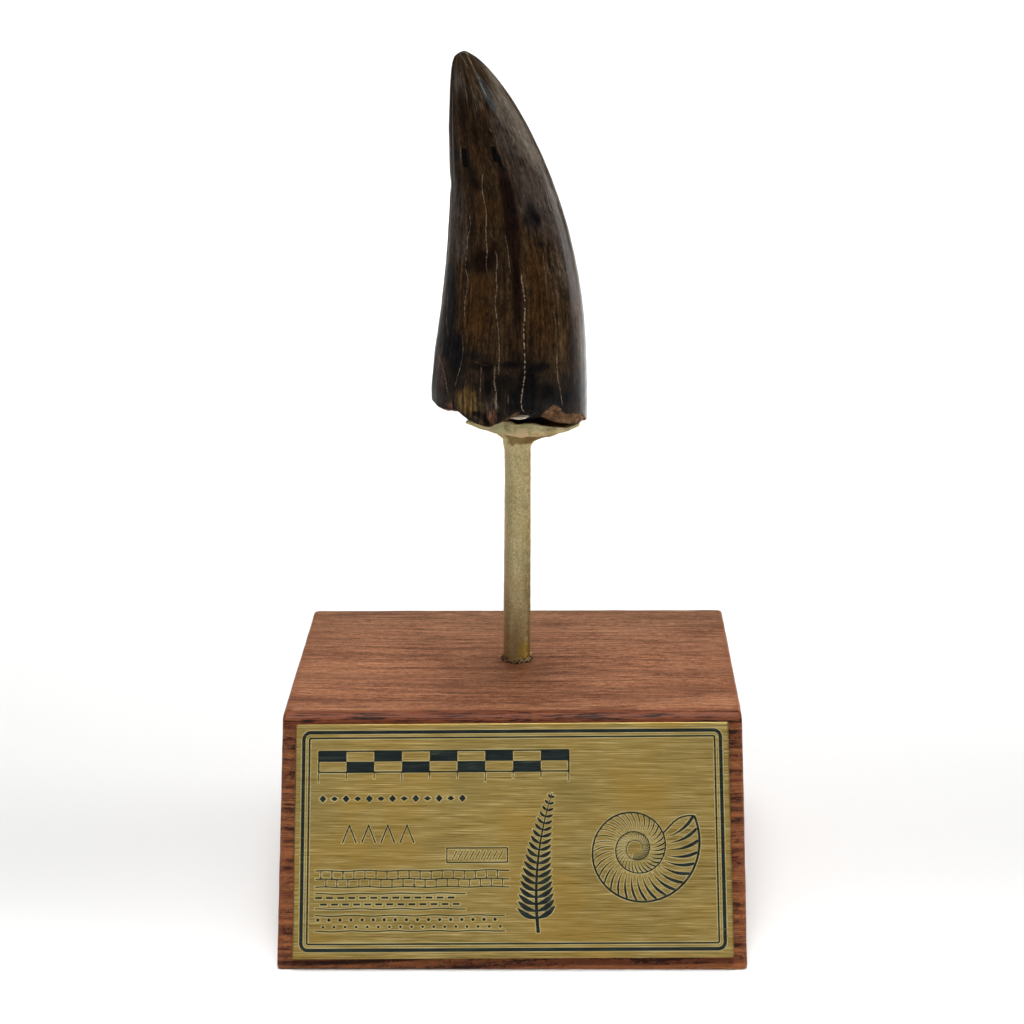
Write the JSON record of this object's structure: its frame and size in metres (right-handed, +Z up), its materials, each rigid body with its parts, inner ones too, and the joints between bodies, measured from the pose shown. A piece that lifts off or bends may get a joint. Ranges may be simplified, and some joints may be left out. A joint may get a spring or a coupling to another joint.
{
  "type": "fossil tyrannosaur tooth on display stand",
  "caption": "Fossil tyrannosaur tooth standing on a brass post and saddle, in a hardwood block with a plain brass plaque on its leaning front.",
  "frame": {"origin": "middle of the block's underside", "axes": "+Z up, the leaning front with the plaque faces -Y, the tooth's cutting edge with the denticles faces -X"},
  "size_m": [0.1016, 0.0938, 0.1886],
  "materials": {
    "block_wood": "satin oiled reddish brown mahogany with fine straight grain",
    "plaque_brass": "horizontally brushed antique brass with dark filled lines",
    "post_brass": "dull aged brass rod with fine scratches",
    "saddle_brass": "dull hammered brass with a brazed joint",
    "fossil_enamel": "polished dark brown fossil enamel with fine lengthwise cracks",
    "setting_putty": "pale set compound"
  },
  "bodies": {
    "root": {"base_block": "block_wood", "plaque": "plaque_brass", "post": "post_brass", "saddle": "saddle_brass", "tooth": "fossil_enamel", "setting_putty": "setting_putty"}
  },
  "joints": []
}
